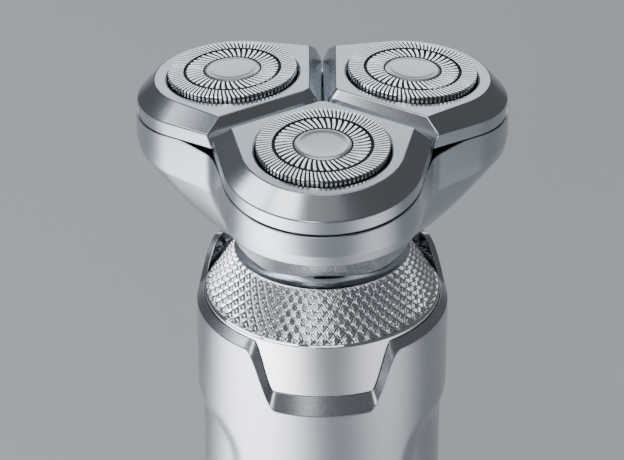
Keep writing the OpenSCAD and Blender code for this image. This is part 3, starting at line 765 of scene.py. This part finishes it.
def build_base():
    """The head's lower shell: upright walls over a bowl, with creases between the lobes."""
    columns, wall, edge = 480, 1.6, 0.4
    foot, foot_r = low("head_base", 2), 13.0
    wall_low, bowl_top = DISC_UP / MM - 11.1, DISC_UP / MM - 13
    floor = DISC_UP / MM - 20.5
    angles = [TAU * i / columns for i in range(columns)]

    def ring(point):
        return [polar(*point(a, base_radius(a))) for a in angles]

    def bowl(t, inset=0.0, lift=0.0):
        def point(a, r):
            drop = 1 - (1 - t) ** bowl_power(a)
            z = mix(bowl_top, foot, drop) + lift
            return (mix(r - edge, foot_r, t) - inset, a, max(z, floor if lift else 0))
        return ring(point)

    inside = [bowl(t, wall, wall / 2) for t in (0.75, 0.5, 0.3, 0.15, 0)]
    inside += [
        ring(lambda a, r: (r - wall, a, wall_low + wall / 2)),
        ring(lambda a, r: (r - wall, a, base_rim(a, r))),
    ]
    outside = [
        ring(lambda a, r: (r, a, base_rim(a, r))),
        ring(lambda a, r: (r, a, mix(base_rim(a, r), wall_low, 0.5))),
        ring(lambda a, r: (r, a, wall_low)),
    ]
    under = [bowl(t) for t in (0, 0.06, 0.13, 0.2, 0.28, 0.36, 0.45, 0.54, 0.63, 0.72, 0.81, 0.9, 1)]
    socket_r, shaft_r, socket_top = 9.8, 3.1, foot + 5.5
    corners = ((socket_r, foot), (socket_r, socket_top), (shaft_r, socket_top), (shaft_r, floor))
    socket = [[polar(r0, a, z0) for a in angles] for r0, z0 in corners]
    rim_row = len(inside)
    bowl_row = rim_row + len(outside)
    foot_row = bowl_row + len(under)
    creases = {rim_row - 1, rim_row, bowl_row - 1, bowl_row, foot_row - 1, foot_row}
    base = loft("head_shell", inside + outside + under + socket, True, creases)
    soften(base, 0.15, 24)
    finish_piece(base, "head", ["head_base"], "head_metal")


# ---------- what stays from the CAD model ----------

SLOT_OF = {
    "top_deck": "frame_plastic", "neck_seal": "seal_rubber", "shaft_seal": "seal_rubber",
    "chassis": "frame_plastic", "base_cap": "head_metal", "foot_pad": "seal_rubber",
    "housing_screws": "fastener_steel", "motor_can": "motor_steel", "motor_end_bell": "frame_plastic",
    "motor_magnets": "core_metal", "motor_bearings": "bronze", "battery_cell": "cell_wrap",
    "battery_wiring": "bronze", "main_board": "board_green", "board_parts": "frame_plastic",
    "switch_body": "motor_steel", "button_seal": "seal_rubber", "charge_port": "motor_steel",
    "port_gasket": "seal_rubber", "motor_shaft": "cutter_steel", "armature": "core_metal",
    "drive_dog": "gear_plastic", "gear_plate": "frame_plastic", "gear_axles": "fastener_steel",
    "pivot_pins": "fastener_steel", "head_screws": "fastener_steel", "centre_gear": "gear_plastic",
}
LOBE_SLOTS = {
    "retainer": "frame_plastic", "cutter": "cutter_steel", "drive_gear": "gear_plastic",
    "drive_pin": "gear_plastic", "spring": "spring_steel",
}


def dress_cad_nodes():
    """Gives every CAD node that still shows its material."""
    wanted = dict(SLOT_OF)
    for lobe in LOBES:
        wanted.update({f"{lobe}_{part}": slot for part, slot in LOBE_SLOTS.items()})
    for name, slot in wanted.items():
        part = nodes[name]
        part.data.materials.clear()
        part.data.materials.append(MATERIALS[slot])
        for face in part.data.polygons:
            face.material_index = 0


# ---------- stage, light and camera ----------

# the lights aim at this height in metres
HEAD_UP = 0.13


def build_stage():
    """A wide plain disc for a floor, its top at the foot of the object."""
    reach, thick = 3000, 20
    floor = extruded("floor", circle_outline(reach, 128), -thick, 0)
    material, _, shader = node_tree("pale_floor")
    shader.inputs["Base Color"].default_value = (0.48, 0.49, 0.51, 1)
    shader.inputs["Roughness"].default_value = 0.7
    floor.data.materials.append(material)


def from_bearing(bearing, elevation, distance):
    """A place round the head: bearing from the front, positive to the right, and elevation, in degrees."""
    turn, lift = math.radians(bearing), math.radians(elevation)
    flat = distance * math.cos(lift)
    return Vector((flat * math.sin(turn), -flat * math.cos(turn), HEAD_UP + distance * math.sin(lift)))


def place_light(lamp, place, target):
    """Puts a lamp at a place and turns it to a target, both in metres."""
    holder = bpy.data.objects.new(lamp.name, lamp)
    bpy.context.scene.collection.objects.link(holder)
    holder.location = place
    holder.rotation_euler = (Vector(target) - Vector(place)).to_track_quat("-Z", "Y").to_euler()


def soft_box(name, bearing, elevation, distance, size, power, colour=(1, 1, 1)):
    lamp = bpy.data.lights.new(name, "AREA")
    lamp.shape = "RECTANGLE"
    lamp.size, lamp.size_y = size
    lamp.energy = power
    lamp.color = colour
    place_light(lamp, from_bearing(bearing, elevation, distance), (0, 0, HEAD_UP))


def floor_pool(name, bearing, reach, radius, power):
    """A soft-edged pool of light on the floor, at a reach from the handle, that the upright walls mirror."""
    away = Vector((math.sin(math.radians(bearing)), -math.cos(math.radians(bearing)), 0))
    target = away * reach
    place = away * (reach + 0.55) + Vector((0, 0, 1.1))
    lamp = bpy.data.lights.new(name, "SPOT")
    lamp.energy = power
    lamp.spot_blend = 1.0
    lamp.spot_size = 2 * math.atan(radius / (target - place).length)
    lamp.shadow_soft_size = 0.05
    place_light(lamp, place, target)


def build_lights():
    """Soft boxes behind, left, in front and overhead, two pools of light on the floor, and a weak sky."""
    cool = (0.9, 0.95, 1.0)
    soft_box("back_wide", 180, 30, 1.6, (1.2, 0.6), 4.6, cool)
    soft_box("left_high", -90, 40, 1.2, (0.6, 0.5), 5.6, cool)
    soft_box("left_front", -50, 50, 1.2, (0.5, 0.4), 4.0)
    soft_box("front_low", -14, 21, 1.3, (0.34, 0.5), 3.4)
    soft_box("front_top", 5, 62, 1.2, (0.5, 0.3), 1.0)
    soft_box("ceiling", 180, 82, 1.3, (0.9, 0.5), 2.6)
    floor_pool("left_pool", -62, 0.24, 0.2, 900)
    floor_pool("right_pool", 58, 0.24, 0.14, 160)
    world = bpy.data.worlds.new("studio")
    world.use_nodes = True
    world.node_tree.nodes["Background"].inputs["Color"].default_value = (0.92, 0.96, 1, 1)
    world.node_tree.nodes["Background"].inputs["Strength"].default_value = 0.16
    bpy.context.scene.world = world


def build_camera():
    """A long lens looking down on the head from the front."""
    pitch = math.radians(30.38)
    distance = 0.550
    target = Vector((-0.00184, 0, 0.13153))
    lens = bpy.data.cameras.new("camera")
    lens.lens = 179
    lens.sensor_width = 36
    lens.clip_start = 0.01
    holder = bpy.data.objects.new("camera", lens)
    bpy.context.scene.collection.objects.link(holder)
    holder.location = target + distance * Vector((0, -math.cos(pitch), math.sin(pitch)))
    holder.rotation_euler = (math.pi / 2 - pitch, 0, 0)
    bpy.context.scene.camera = holder


build_camera()
build_stage()
build_lights()
build_sleeve()
build_button()
build_lens()
build_collar()
build_knurl()
build_neck()
build_base()
for lobe in LOBES:
    build_cover(lobe)
    build_disc(lobe)
dress_cad_nodes()
